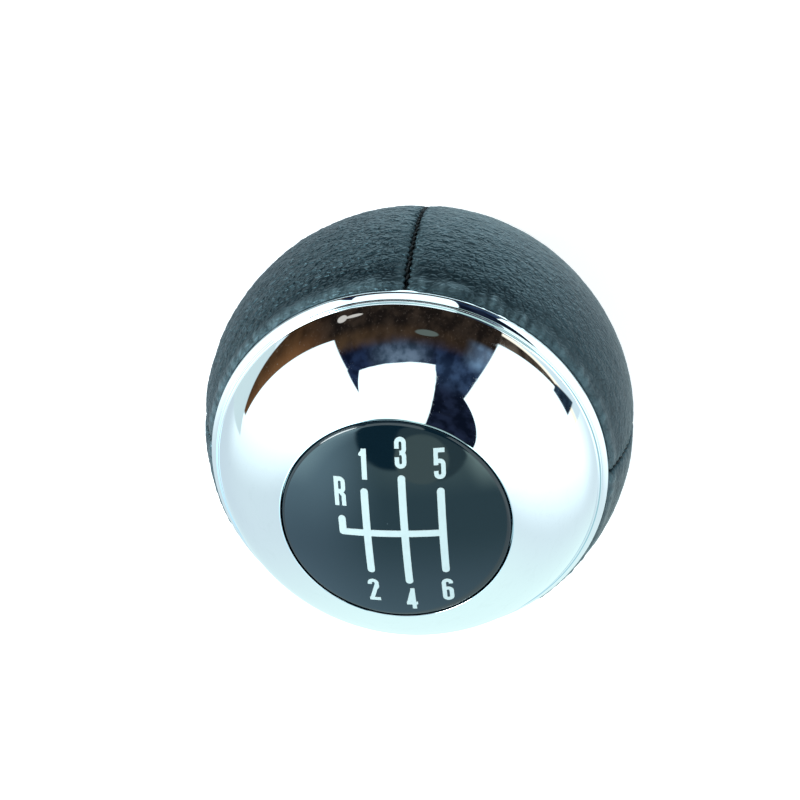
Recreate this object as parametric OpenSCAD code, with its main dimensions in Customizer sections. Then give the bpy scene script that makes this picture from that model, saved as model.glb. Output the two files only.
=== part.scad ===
// Ball gear shift knob for a six-speed manual gearbox.
// The knob stands upright on its collar: +Z is the lever axis, pointing out of the badge, +Y is
// the side of gears 1, 3 and 5, and the origin is the centre of the collar's foot.
// Profiles are drawn in the plane of the lever axis, with heights measured from the ball's centre.

/* [Ball] */
// Diameter of the ball over the leather
ball_d = 50.4; // [48:0.2:54]
// Height of the ball's lowest point above the foot of the collar
foot_drop = 2.3; // [2:0.1:6]
// Thickness of the leather
leather_t = 1.3; // [1:0.1:1.6]
// Gap between two panels at a seam
seam_gap = 0.3; // [0.2:0.05:0.5]
// Radius of the rolled edge of each panel along a seam
seam_edge_r = 1.1; // [0.8:0.1:1.2]
// Place of the right seam, as an angle from +X
seam_right = -1; // [-5:1:5]
// Place of the front seam
seam_front = 87; // [85:1:95]
// Place of the left seam
seam_left = 172; // [170:1:185]
// Place of the rear seam
seam_rear = 267; // [265:1:275]
// Diameter of the sewing thread
thread_d = 0.4; // [0.3:0.05:0.45]
// Distance from stitch to stitch along a seam
stitch_pitch = 1.05; // [0.8:0.05:2]

/* [Trim ring] */
// Height of the ring's foot above the ball's middle, as an angle at the ball's centre
ring_angle = 26.3; // [25:0.1:29]
// How far the ring stands in from the edge of the leather
ring_inset = 0.14; // [0.1:0.02:0.3]
// Height of the upright part of the ring's flank
ring_side_h = 0.28; // [0.2:0.02:0.5]
// Radius of the ring's outer corner
ring_corner_r = 0.33; // [0.25:0.01:0.4]
// Radius of the crown that runs from the corner to the dome
ring_crown_r = 1.75; // [1.5:0.05:2]
// Width of the trim ring, from its hole to its outer edge
ring_w = 3.15; // [2.9:0.05:3.3]

/* [Chrome dome] */
// Distance from the ring's outer edge in to the foot of the dome's bulge
ledge_w = 0.98; // [0.95:0.01:1.2]
// Height of the lip round the dome's foot
dome_lip_h = 0.46; // [0.4:0.02:0.6]
// Radius of the lip's edge
dome_lip_r = 0.15; // [0.08:0.01:0.16]
// Height of the dome from its lip to the badge
dome_h = 9.24; // [8.8:0.02:9.6]
// Radius of the dome's bulge
dome_bulge_r = 16.4; // [15.5:0.1:18]
// Radius of the hollow between the bulge and the lip
dome_foot_r = 0.2; // [0.12:0.02:0.22]
// Wall of the dome
dome_wall = 1.6; // [1.4:0.1:2]
// Wall of the snap skirt
skirt_wall = 1.5; // [1.2:0.1:1.8]
// Number of snap hooks on the skirt
hook_count = 4; // [3:1:6]
// Width of a snap hook
hook_w = 6; // [4:0.5:8]
// How far a hook reaches under the core's lip
hook_reach = 0.7; // [0.4:0.1:0.8]
// Height of a hook
hook_h = 1.2; // [1:0.1:1.6]

/* [Badge] */
// Diameter of the badge
badge_d = 25; // [23:0.1:25.6]
// Thickness of the badge at its rim
badge_rim_t = 1.5; // [1.2:0.1:1.8]
// Radius of the badge's domed face
badge_face_r = 38; // [30:1:60]
// Radius of the badge's rounded edge
badge_edge_r = 0.6; // [0.3:0.05:0.8]
// Distance from the badge's edge in to the edge of the adhesive disc
adhesive_inset = 1.4; // [1:0.1:3]
// Thickness of the adhesive disc
adhesive_t = 0.25; // [0.1:0.05:0.4]
// Floor under the badge
badge_floor_t = 1.6; // [1.2:0.1:2]

/* [Shift pattern] */
// Thickness of the ink
ink_t = 0.06; // [0.04:0.01:0.1]
// Width of the gate lines
gate_line_w = 0.8; // [0.6:0.05:1]
// Distance from one gate column to the next
gate_pitch = 4.05; // [3.6:0.05:4.3]
// Place of the middle column to the right of the badge's centre
gate_shift_x = 1.25; // [0:0.05:1.5]
// Place of the cross line ahead of the badge's centre
gate_shift_y = -0.1; // [-0.5:0.05:0.5]
// Half length of the outer columns
gate_outer_len = 5; // [4.8:0.05:5.3]
// Half length of the middle column
gate_middle_len = 6.55; // [6.2:0.05:6.8]
// Distance from the first column to the reverse column
reverse_step = 2.65; // [2.4:0.05:2.9]
// Length of the reverse column
reverse_len = 1.6; // [1.3:0.1:2]
// Height of a figure
figure_h = 3.35; // [3:0.05:3.5]
// Width of a figure
figure_w = 1.22; // [1.16:0.02:1.5]
// Width of a figure's stroke
figure_stroke = 0.46; // [0.36:0.02:0.46]
// Gap between an outer column's end and its figure
figure_gap = 1; // [0.7:0.05:1.05]
// Gap between the middle column's end and its figure
middle_gap = 0.75; // [0.4:0.05:0.8]
// Gap between the reverse column's end and its letter
reverse_gap = 1.2; // [0.8:0.05:1.25]

/* [Core] */
// Wall of the moulded core
core_wall = 2.8; // [2.4:0.1:3]
// Diameter of the hub round the lever sleeve
hub_d = 18.6; // [18:0.2:19.4]
// Number of ribs between the hub and the wall
rib_count = 6; // [4:1:8]
// Thickness of a rib
rib_t = 1.6; // [1.2:0.1:2]
// Height of the ribs above the cavity's floor
rib_h = 8.5; // [7:0.1:9]
// Depth of the core's foot below the leather's lower edge
core_foot_h = 1.7; // [1.5:0.1:2.2]

/* [Weight] */
// Clearance between the steel weight and the skirt that comes down round it
weight_gap = 0.7; // [0.5:0.1:2]
// Height of the steel weight
weight_h = 9; // [6:0.5:10]
// Thickness of the push nut on top of the weight
push_nut_t = 0.6; // [0.4:0.1:0.8]
// Width of the push nut's ring
push_nut_w = 3.7; // [3:0.1:4.5]

/* [Lever socket] */
// Diameter of the lever's end
lever_d = 12; // [11:0.1:12.4]
// Depth of the bore that takes the lever
lever_depth = 30; // [28:0.5:32]
// Wall of the lever sleeve
sleeve_wall = 1.7; // [1.5:0.1:2]
// Height of the sleeve's mouth above the foot of the collar
mouth_rise = 1; // [0.5:0.5:2]
// Diameter of the sleeve's flange
flange_d = 19; // [18.4:0.2:19.4]
// Thickness of the sleeve's flange
flange_t = 1.5; // [1.2:0.1:1.8]
// Thickness of the rubber pad at the end of the bore
buffer_t = 2; // [1:0.5:3]
// Diameter of the rubber pad
buffer_d = 11; // [9:0.5:11]
// Wire diameter of the retaining clip
clip_wire_d = 0.9; // [0.7:0.05:1]
// Height of the clip above the sleeve's mouth
clip_rise = 16; // [14:0.5:20]
// Opening of the clip, in degrees
clip_opening = 60; // [40:5:90]

/* [Collar] */
// Diameter of the collar where it meets the leather
collar_top_d = 33; // [32:0.2:34]
// Diameter of the collar's foot
collar_foot_d = 30.4; // [30:0.2:31.4]
// Wall of the collar at its foot
collar_wall = 1.7; // [1.5:0.1:1.8]
// Thickness of the collar's floor
collar_floor_t = 4; // [3.6:0.1:4.4]
// Radius of the groove that takes the gaiter's ring
gaiter_groove_r = 0.7; // [0.4:0.1:0.8]
// Height of the gaiter groove above the foot
gaiter_groove_h = 3.2; // [2.4:0.1:4]
// Diameter of the collar screws
screw_d = 2.4; // [2:0.1:2.5]
// Length of the collar screws below the head
screw_len = 6.8; // [6:0.1:7.2]
// Diameter of the screw heads
screw_head_d = 3.8; // [3.4:0.1:4]
// Height of the screw heads
screw_head_h = 1.5; // [1.2:0.1:1.8]
// Number of collar screws
screw_count = 3; // [3:1:6]

/* [Hidden] */
$fn = 96;

// Clearance between pieces that slip together
slip = 0.1;
// Air between two faces that bear on each other
touch = 0.002;
// Spare length of a cutter past the face that it cuts
past = 1;

ball_r = ball_d / 2;
centre_h = ball_r + foot_drop;
core_r = ball_r - leather_t;

// Trim ring and the top edge of the leather. The ring's corner and crown are tangent where the
// outline leans back by crown_start, and the crown ends where it leans back by crown_end
crown_start = 47;
crown_end = 68;
ring_r = ball_r * cos(ring_angle) - ring_inset;
ring_bore_r = ring_r - ring_w;
ring_z = ball_r * sin(ring_angle);
corner_centre = [ring_r - ring_corner_r, ring_z + ring_side_h];
crown_centre = corner_centre
    - (ring_crown_r - ring_corner_r) * [cos(crown_start), sin(crown_start)];
crown_foot = crown_centre + ring_crown_r * [cos(crown_start), sin(crown_start)];
ring_top_r = crown_centre[0] + ring_crown_r * cos(crown_end);
ring_top_z = crown_centre[1] + ring_crown_r * sin(crown_end);
core_top_z = ring_z - leather_t;
core_rim_t = 0.8;
core_lip_t = 2.2;
core_rim_r = ring_bore_r + core_rim_t;

// Dome
dome_r = ring_r - ledge_w;
badge_seat_r = badge_d / 2 + slip;
lip_r = ring_top_r - touch;
lip_top_z = ring_top_z + dome_lip_h;
rim_z = lip_top_z + dome_h;
bulge_centre = arc_centre([dome_r, lip_top_z], [badge_seat_r, rim_z], dome_bulge_r);
foot_hollow_z = lip_top_z + dome_foot_r;
foot_hollow_r = bulge_centre[0]
    + sqrt(pow(dome_bulge_r + dome_foot_r, 2) - pow(foot_hollow_z - bulge_centre[1], 2));
foot_blend_z = bulge_centre[1]
    + (foot_hollow_z - bulge_centre[1]) * dome_bulge_r / (dome_bulge_r + dome_foot_r);
badge_z = rim_z - badge_rim_t;
seat_z = badge_z - adhesive_t;
skirt_r = ring_bore_r - slip;
core_lip_z = core_top_z - core_lip_t;
skirt_z = core_lip_z - slip - hook_h;
hook_r = skirt_r + hook_reach;

// Badge
badge_r = badge_d / 2;
face_centre_z = rim_z - sqrt(badge_face_r * badge_face_r - badge_r * badge_r);
edge_centre_r = badge_r - badge_edge_r;
edge_centre_z = face_centre_z
    + sqrt(pow(badge_face_r - badge_edge_r, 2) - edge_centre_r * edge_centre_r);
edge_tangent_r = edge_centre_r * badge_face_r / (badge_face_r - badge_edge_r);

// Figures of the shift pattern
waist = figure_h * 0.5;
side = figure_w / 2 - figure_stroke;

// Lower edge of the leather, collar and foot of the core
foot_z = -centre_h;
collar_top_r = collar_top_d / 2;
collar_foot_r = collar_foot_d / 2;
collar_z = -sqrt(ball_r * ball_r - collar_top_r * collar_top_r);
shoulder_z = collar_z + leather_t;
collar_lip = 1.6;
core_foot_r = collar_top_r - collar_lip;
core_foot_z = collar_z - core_foot_h;
collar_floor_z = core_foot_z - collar_floor_t;
floor_z = shoulder_z + core_wall;

// Seams: the rolled edges are tangent to the ball, and the thread lies between them
seam_edge_y = seam_gap / 2 + seam_edge_r;
seam_edge_x = sqrt(pow(ball_r - seam_edge_r, 2) - seam_edge_y * seam_edge_y);
strand_r = ball_r - seam_edge_r * 0.45;
stitch_slant = 38;
stitch_len = seam_edge_r * 0.72;
stitch_step = stitch_pitch / strand_r * 180 / PI;
seam_end = 1.5;
seam_low = asin(collar_z / ball_r) + seam_end;
seam_high = asin(ring_z / ball_r) - seam_end;

// Core
cavity_r = core_r - core_wall;
weight_r = skirt_r - skirt_wall - weight_gap;
hub_r = hub_d / 2;
rib_z = floor_z + rib_h;
weight_z = rib_z + weight_h;
nut_z = weight_z + push_nut_t;
nut_r = hub_r + push_nut_w;

// Lever sleeve
bore_r = lever_d / 2;
sleeve_r = bore_r + sleeve_wall;
mouth_z = foot_z + mouth_rise;
bore_end_z = mouth_z + lever_depth;
sleeve_end_z = bore_end_z + buffer_t + sleeve_wall;
hub_end_z = sleeve_end_z - sleeve_wall;
hub_bore_r = sleeve_r + slip;
flange_r = flange_d / 2;
clip_z = mouth_z + clip_rise;
clip_r = sleeve_r - clip_wire_d / 2;
clip_groove_r = sleeve_r - clip_wire_d - slip;
clip_groove_h = clip_wire_d + 2 * slip;

// Outer wall of the collar: straight up to cove_z, then a cove out to the leather
collar_straight_h = 5;
cove_z = foot_z + collar_straight_h;
collar_flare = collar_top_r - collar_foot_r;
cove_r = (collar_flare * collar_flare + pow(collar_z - cove_z, 2)) / (2 * collar_flare);

// Collar screws
screw_r = screw_d / 2;
screw_head_r = screw_head_d / 2;
screw_circle_r = collar_foot_r - collar_wall - screw_head_r - 3 * slip;
collar_bore_r = sleeve_r + slip;
flange_seat_z = core_foot_z - flange_t;

function arc_centre(p, q, r) =
    let (
        middle = (p + q) / 2,
        step = q - p,
        chord = norm(step),
        rise = sqrt(r * r - chord * chord / 4)
    )
    middle + rise * [-step[1], step[0]] / chord;

module at_ball_centre() {
    translate([0, 0, centre_h]) children();
}

module right_half(low, high) {
    translate([0, low]) square([2 * ball_r, high - low]);
}

module band(inner, outer, low, high) {
    translate([inner, low]) square([outer - inner, high - low]);
}

module tube(inner, outer, low, high) {
    translate([0, 0, low]) difference() {
        cylinder(r = outer, h = high - low);
        translate([0, 0, -past]) cylinder(r = inner, h = high - low + 2 * past);
    }
}

module spokes(count, first = 0) {
    for (i = [0 : count - 1]) rotate([0, 0, first + i * 360 / count]) children();
}

// Badge with a domed face and a rounded edge
module badge_profile() {
    difference() {
        intersection() {
            right_half(badge_z, ball_r);
            translate([0, face_centre_z]) circle(r = badge_face_r);
            square([badge_r, ball_r]);
        }
        difference() {
            band(edge_tangent_r, badge_r + past, edge_centre_z, ball_r);
            translate([edge_centre_r, edge_centre_z]) circle(r = badge_edge_r);
        }
    }
}

module badge_disc() {
    color("#22333c") at_ball_centre() rotate_extrude() badge_profile();
}

module badge_adhesive() {
    color("#d8d2c0") at_ball_centre() translate([0, 0, seat_z])
        cylinder(r = badge_r - adhesive_inset, h = adhesive_t);
}

// A stroke with round ends
module stroke(from, to, width) {
    run = to - from;
    translate(from) rotate(atan2(run[1], run[0])) {
        translate([0, -width / 2]) square([norm(run), width]);
        circle(d = width);
        translate([norm(run), 0]) circle(d = width);
    }
}

// A standing oval with straight sides, which the round figures are cut from
module pill(width, low, high) {
    r = width / 2;
    translate([-r, low + r]) square([width, high - low - width]);
    for (y = [low + r, high - r]) translate([0, y]) circle(r = r);
}

module loop(low, high) {
    difference() {
        pill(figure_w, low, high);
        pill(figure_w - 2 * figure_stroke, low + figure_stroke, high - figure_stroke);
    }
}

// Every figure stands on y = 0 and is centred on x = 0
module figure_1() {
    edge = figure_w * 0.34;
    translate([edge - figure_stroke * 1.2, 0]) square([figure_stroke * 1.2, figure_h]);
    stroke([edge - figure_stroke * 0.7, figure_h - figure_stroke * 0.4],
        [-edge + figure_stroke * 0.4, figure_h - figure_stroke * 1.3], figure_stroke * 0.8);
}

module figure_2() {
    difference() {
        loop(figure_h - 3 * figure_stroke - side * 2, figure_h);
        translate([-figure_w, figure_h - 3 * figure_stroke - side * 2])
            square([figure_w + side, figure_stroke * 1.6 + side]);
        translate([-figure_w, 0]) square([figure_w, figure_h - figure_stroke * 2.3]);
    }
    stroke([side + figure_stroke / 2, figure_h - figure_w / 2 - figure_stroke * 0.4],
        [-side - figure_stroke * 0.4, figure_stroke * 0.7], figure_stroke);
    translate([-figure_w / 2, 0]) square([figure_w, figure_stroke]);
}

module figure_3() {
    difference() {
        union() {
            loop(waist - figure_stroke / 2, figure_h);
            loop(0, waist + figure_stroke / 2);
        }
        translate([-figure_w, waist - figure_stroke])
            square([figure_w - side * 0.6, figure_stroke * 2]);
    }
    translate([-side * 0.6, waist - figure_stroke / 2]) square([side * 1.6, figure_stroke]);
}

module figure_4() {
    stem = side - figure_stroke * 0.4;
    translate([stem, 0]) square([figure_stroke, figure_h]);
    stroke([stem + figure_stroke / 2, figure_h - figure_stroke / 2],
        [-figure_w / 2 + figure_stroke / 2, figure_h * 0.28], figure_stroke);
    translate([-figure_w / 2, figure_h * 0.28 - figure_stroke / 2])
        square([figure_w, figure_stroke]);
}

module figure_5() {
    belly_h = figure_h * 0.66;
    open_low = figure_w / 2 + figure_stroke * 0.6;
    difference() {
        loop(0, belly_h);
        translate([-figure_w, open_low])
            square([figure_w, belly_h - figure_stroke - open_low]);
    }
    translate([-figure_w / 2, figure_h * 0.46]) square([figure_stroke, figure_h * 0.54]);
    translate([-figure_w / 2, figure_h - figure_stroke]) square([figure_w * 0.94, figure_stroke]);
}

module figure_6() {
    loop(0, figure_h * 0.64);
    difference() {
        loop(0, figure_h);
        translate([0, figure_h * 0.32]) square([figure_w, figure_h * 0.46]);
    }
}

module figure_r() {
    translate([-figure_w / 2, 0]) square([figure_stroke, figure_h]);
    intersection() {
        loop(waist - figure_stroke / 2, figure_h);
        translate([-side, 0]) square([figure_w, figure_h]);
    }
    for (y = [waist - figure_stroke / 2, figure_h - figure_stroke])
        translate([-side - figure_stroke / 2, y]) square([side + figure_stroke / 2, figure_stroke]);
    stroke([0, waist], [side + figure_stroke / 2, waist - figure_stroke], figure_stroke);
    translate([side, 0]) square([figure_stroke, waist - figure_stroke]);
}

module gate_lines() {
    for (column = [-1, 0, 1]) {
        half = column == 0 ? gate_middle_len : gate_outer_len;
        stroke([column * gate_pitch, -half], [column * gate_pitch, half], gate_line_w);
    }
    stroke([-gate_pitch - reverse_step, 0], [gate_pitch, 0], gate_line_w);
    stroke([-gate_pitch - reverse_step, 0],
        [-gate_pitch - reverse_step, reverse_len], gate_line_w);
}

module gate_figures() {
    outer = gate_outer_len + gate_line_w / 2 + figure_gap;
    middle = gate_middle_len + gate_line_w / 2 + middle_gap;
    reverse = reverse_len + gate_line_w / 2 + reverse_gap;
    translate([-gate_pitch, outer]) figure_1();
    translate([-gate_pitch, -outer - figure_h]) figure_2();
    translate([0, middle]) figure_3();
    translate([0, -middle - figure_h]) figure_4();
    translate([gate_pitch, outer]) figure_5();
    translate([gate_pitch, -outer - figure_h]) figure_6();
    translate([-gate_pitch - reverse_step, reverse]) figure_r();
}

// The pattern is cut from a thin skin over the badge's domed face
module gate_print() {
    color("#eef4ee") at_ball_centre() intersection() {
        translate([0, 0, rim_z]) linear_extrude(ball_r - rim_z + past)
            translate([gate_shift_x, gate_shift_y]) {
                gate_lines();
                gate_figures();
            }
        translate([0, 0, face_centre_z]) difference() {
            sphere(r = badge_face_r + ink_t);
            sphere(r = badge_face_r);
        }
    }
}

// Chromed cap: bulged wall with a lip round its foot, badge seat and a skirt with snap hooks
module dome_profile() {
    difference() {
        intersection() {
            translate(bulge_centre) circle(r = dome_bulge_r);
            right_half(lip_top_z, rim_z);
        }
        intersection() {
            translate(bulge_centre) circle(r = dome_bulge_r - dome_wall);
            band(0, skirt_r - skirt_wall, lip_top_z - past, seat_z - badge_floor_t);
        }
        band(0, badge_seat_r, seat_z, ball_r);
    }
    difference() {
        band(skirt_r, foot_hollow_r, lip_top_z, foot_blend_z);
        translate([foot_hollow_r, foot_hollow_z]) circle(r = dome_foot_r);
    }
    difference() {
        band(skirt_r, lip_r, ring_top_z + touch, lip_top_z);
        difference() {
            band(lip_r - dome_lip_r, lip_r + past, lip_top_z - dome_lip_r, lip_top_z + past);
            translate([lip_r - dome_lip_r, lip_top_z - dome_lip_r]) circle(r = dome_lip_r);
        }
    }
    band(skirt_r - skirt_wall, skirt_r, skirt_z, lip_top_z + past);
}

module chrome_dome() {
    slot_w = 1.2;
    color("#d4dde2") at_ball_centre() difference() {
        union() {
            rotate_extrude() dome_profile();
            intersection() {
                tube(skirt_r - skirt_wall, hook_r, skirt_z, skirt_z + hook_h);
                spokes(hook_count) translate([0, -hook_w / 2, skirt_z])
                    cube([ball_r, hook_w, hook_h]);
            }
        }
        // Slots on both sides of each hook let it spring
        spokes(hook_count) for (edge = [-1, 1])
            translate([0, edge * (hook_w + slot_w) / 2 - slot_w / 2, skirt_z - past])
                cube([ball_r, slot_w, ring_z - skirt_z + past]);
    }
}

// Ring with an upright side, a tight corner, a gentle crown and a flat top for the dome
module trim_ring() {
    color("#dfe6ea") at_ball_centre() rotate_extrude() {
        band(ring_bore_r, ring_top_r, ring_z, ring_top_z);
        band(ring_top_r, ring_r, ring_z, corner_centre[1]);
        intersection() {
            difference() {
                translate(crown_centre) circle(r = ring_crown_r);
                difference() {
                    band(crown_foot[0], ring_r + past, ring_z, ring_top_z);
                    translate(corner_centre) circle(r = ring_corner_r);
                }
            }
            band(ring_top_r, ring_r + past, corner_centre[1], ring_top_z);
        }
    }
}

// Section of the leather: a skin over the core whose two edges turn in under the ring and collar
module leather_profile() {
    difference() {
        intersection() {
            circle(r = ball_r);
            right_half(collar_z, ring_z);
        }
        intersection() {
            circle(r = core_r);
            right_half(shoulder_z, core_top_z);
        }
        band(0, core_rim_r + slip, 0, ring_z + past);
        band(0, core_foot_r + slip, collar_z - past, 0);
    }
}

// Cutter that rounds the two panel edges along one seam, which lies in the plane y = 0
module seam_edge_cutter() {
    rotate([-90, 0, 0]) rotate_extrude() difference() {
        translate([seam_edge_x, -seam_edge_y])
            square([ball_r + past - seam_edge_x, 2 * seam_edge_y]);
        for (face = [-1, 1]) translate([seam_edge_x, face * seam_edge_y])
            circle(r = seam_edge_r);
    }
}

// Half space on one side of a seam, from the middle of the seam's gap
module beside_seam(angle, side) {
    rotate([0, 0, angle]) translate([0, side * (ball_d + seam_gap) / 2, 0])
        cube([2 * ball_d, ball_d, 2 * ball_d], center = true);
}

// Panel between two seams, counter-clockwise from the first
module leather_panel(first, second) {
    color("#2b3a42") at_ball_centre() difference() {
        intersection() {
            rotate_extrude() leather_profile();
            beside_seam(first, 1);
            beside_seam(second, -1);
        }
        for (angle = [first, second]) rotate([0, 0, angle]) seam_edge_cutter();
    }
}

module leather_front_right() { leather_panel(seam_right, seam_front); }
module leather_front_left() { leather_panel(seam_front, seam_left); }
module leather_rear_left() { leather_panel(seam_left, seam_rear); }
module leather_rear_right() { leather_panel(seam_rear, seam_right + 360); }

// Thread of one seam: a strand along the groove with a slanted stitch at every pitch
module seam_thread(angle) {
    color("#0c1013") at_ball_centre() rotate([0, 0, angle]) {
        rotate([90, 0, 0]) rotate([0, 0, seam_low])
            rotate_extrude(angle = seam_high - seam_low) translate([strand_r, 0])
                circle(d = thread_d);
        for (rise = [seam_low + stitch_step : stitch_step : seam_high - stitch_step])
            rotate([0, -rise, 0]) translate([strand_r + thread_d / 4, 0, 0])
                rotate([stitch_slant, 0, 0])
                    cylinder(d = thread_d * 0.8, h = stitch_len, center = true);
    }
}

module seam_thread_right() { seam_thread(seam_right); }
module seam_thread_front() { seam_thread(seam_front); }
module seam_thread_left() { seam_thread(seam_left); }
module seam_thread_rear() { seam_thread(seam_rear); }

// Moulded core: a spherical cup with a rim for the ring, a foot, a hub and ribs
module core_profile() {
    difference() {
        union() {
            intersection() {
                circle(r = core_r);
                right_half(shoulder_z, core_top_z);
            }
            band(0, core_foot_r, core_foot_z, shoulder_z + past);
            band(ring_bore_r, core_rim_r, 0, ring_z);
        }
        intersection() {
            circle(r = cavity_r);
            right_half(floor_z, core_lip_z);
        }
        band(0, hook_r + slip, skirt_z - slip, core_lip_z);
        band(0, ring_bore_r, core_lip_z - past, ring_z + past);
    }
    band(0, hub_r, core_foot_z, hub_end_z);
}

module core_body() {
    color("#3a3d40") at_ball_centre() difference() {
        union() {
            rotate_extrude() core_profile();
            intersection() {
                spokes(rib_count) translate([0, -rib_t / 2, floor_z - past])
                    cube([ball_r, rib_t, rib_z - floor_z + past]);
                sphere(r = (core_r + cavity_r) / 2);
            }
        }
        translate([0, 0, core_foot_z - past])
            cylinder(r = hub_bore_r, h = hub_end_z - core_foot_z + 2 * past);
        at_screws() translate([0, 0, core_foot_z - past])
            cylinder(r = screw_r + slip / 2, h = screw_len - collar_floor_t + past + slip);
    }
}

module weight_ring() {
    chamfer = 1;
    color("#8b8f92") at_ball_centre() rotate_extrude() difference() {
        band(hub_r + slip, weight_r, rib_z, weight_z);
        for (y = [rib_z, weight_z]) translate([weight_r, y]) rotate(45)
            square(chamfer * sqrt(2), center = true);
    }
}

module push_nut() {
    tooth_w = 1;
    tooth_count = 8;
    color("#b9bcbe") at_ball_centre() difference() {
        tube(hub_r + slip / 2, nut_r, weight_z, nut_z);
        spokes(tooth_count) translate([hub_r - past, -tooth_w / 2, weight_z - past])
            cube([past + push_nut_w / 2, tooth_w, push_nut_t + 2 * past]);
    }
}

// Sleeve with a flange, a blind bore, a clip groove and the windows that the clip bites through
module lever_sleeve() {
    window_count = 3;
    window_w = 4;
    color("#e6e4dc") at_ball_centre() difference() {
        union() {
            translate([0, 0, mouth_z]) cylinder(r = sleeve_r, h = sleeve_end_z - mouth_z);
            translate([0, 0, flange_seat_z]) cylinder(r = flange_r, h = flange_t);
        }
        translate([0, 0, mouth_z - past]) cylinder(r = bore_r, h = lever_depth + past);
        translate([0, 0, bore_end_z - past]) cylinder(d = buffer_d, h = buffer_t + past);
        tube(clip_groove_r, sleeve_r + past, clip_z - clip_groove_h / 2,
            clip_z + clip_groove_h / 2);
        spokes(window_count, 180) translate([0, -window_w / 2, clip_z - clip_wire_d / 2])
            cube([sleeve_r + past, window_w, clip_wire_d]);
    }
}

module retaining_clip() {
    color("#c9cccd") at_ball_centre() translate([0, 0, clip_z])
        rotate([0, 0, clip_opening / 2]) rotate_extrude(angle = 360 - clip_opening)
            translate([clip_r - slip / 2, 0]) circle(d = clip_wire_d);
}

module end_buffer() {
    color("#1d1d1d") at_ball_centre() translate([0, 0, bore_end_z])
        cylinder(d = buffer_d, h = buffer_t);
}

module at_screws() {
    spokes(screw_count, 90) translate([screw_circle_r, 0, 0]) children();
}

// Neck under the ball: outer wall with a gaiter groove, and a floor that the screws pull up
module collar_profile() {
    difference() {
        band(collar_bore_r, collar_top_r, foot_z, collar_z);
        band(collar_foot_r, collar_top_r + past, foot_z - past, cove_z);
        translate([collar_foot_r + cove_r, cove_z]) circle(r = cove_r);
        band(0, core_foot_r + slip, core_foot_z, collar_z + past);
        band(0, flange_r + slip, flange_seat_z, core_foot_z + past);
        band(0, collar_foot_r - collar_wall, foot_z - past, collar_floor_z);
        translate([collar_foot_r + gaiter_groove_r * 0.4, foot_z + gaiter_groove_h])
            circle(r = gaiter_groove_r);
    }
}

module base_collar() {
    color("#1c2226") at_ball_centre() difference() {
        rotate_extrude() collar_profile();
        at_screws() translate([0, 0, collar_floor_z - past])
            cylinder(r = screw_r + slip, h = collar_floor_t + 2 * past);
    }
}

module collar_screws() {
    slot_w = 0.6;
    slot_h = screw_head_h * 0.6;
    color("#a7abad") at_ball_centre() at_screws() difference() {
        union() {
            translate([0, 0, collar_floor_z - screw_head_h])
                cylinder(r = screw_head_r, h = screw_head_h);
            translate([0, 0, collar_floor_z - slip]) cylinder(r = screw_r, h = screw_len + slip);
        }
        for (turn = [0, 90]) rotate([0, 0, turn])
            translate([-screw_head_r * 0.6, -slot_w / 2, collar_floor_z - screw_head_h - past])
                cube([screw_head_r * 1.2, slot_w, slot_h + past]);
    }
}

badge_disc();
gate_print();
badge_adhesive();
chrome_dome();
trim_ring();
leather_front_right();
leather_rear_right();
leather_rear_left();
leather_front_left();
seam_thread_front();
seam_thread_right();
seam_thread_rear();
seam_thread_left();
core_body();
weight_ring();
push_nut();
lever_sleeve();
retaining_clip();
end_buffer();
base_collar();
collar_screws();
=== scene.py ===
import math

import bpy
import numpy as np
from mathutils import Matrix, Vector, noise


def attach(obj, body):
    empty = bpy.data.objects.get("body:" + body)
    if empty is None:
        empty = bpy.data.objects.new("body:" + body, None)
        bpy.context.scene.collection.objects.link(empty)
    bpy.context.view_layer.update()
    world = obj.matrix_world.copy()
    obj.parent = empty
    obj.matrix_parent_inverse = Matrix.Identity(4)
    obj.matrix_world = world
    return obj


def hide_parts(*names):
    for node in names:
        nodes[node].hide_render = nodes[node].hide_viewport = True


# Looks of a leather and chrome ball gear knob. Sizes are in millimetres here and go to Blender in
# metres; heights are measured from the ball's centre, as in the part's source.

MM = 0.001
BALL_R = 25.2
CENTRE_H = 27.5
CORE_R = 23.9
RING_LAT = math.radians(26.3)
RING_Z = BALL_R * math.sin(RING_LAT)
RING_R = 22.4515
HEM_LAT = math.radians(26.42)
COLLAR_Z = -19.047
COLLAR_LAT = math.asin(COLLAR_Z / BALL_R)
SEAM_GAP = 0.3
SEAM_EDGE_R = 0.5
SEAM_EDGE_D = SEAM_GAP / 2 + SEAM_EDGE_R
STITCH_PITCH = 0.95
STITCH_LOW = COLLAR_LAT + math.radians(1.5)
SEAMS = {"right": -1.0, "front": 87.0, "left": 172.0, "rear": 267.0}

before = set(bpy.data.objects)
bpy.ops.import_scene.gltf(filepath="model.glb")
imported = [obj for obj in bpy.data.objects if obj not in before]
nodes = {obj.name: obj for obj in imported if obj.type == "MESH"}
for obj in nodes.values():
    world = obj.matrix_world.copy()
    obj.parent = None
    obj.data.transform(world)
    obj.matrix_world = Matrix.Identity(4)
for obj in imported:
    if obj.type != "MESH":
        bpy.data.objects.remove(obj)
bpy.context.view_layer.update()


# ---------------------------------------------------------------- shader helpers

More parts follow.
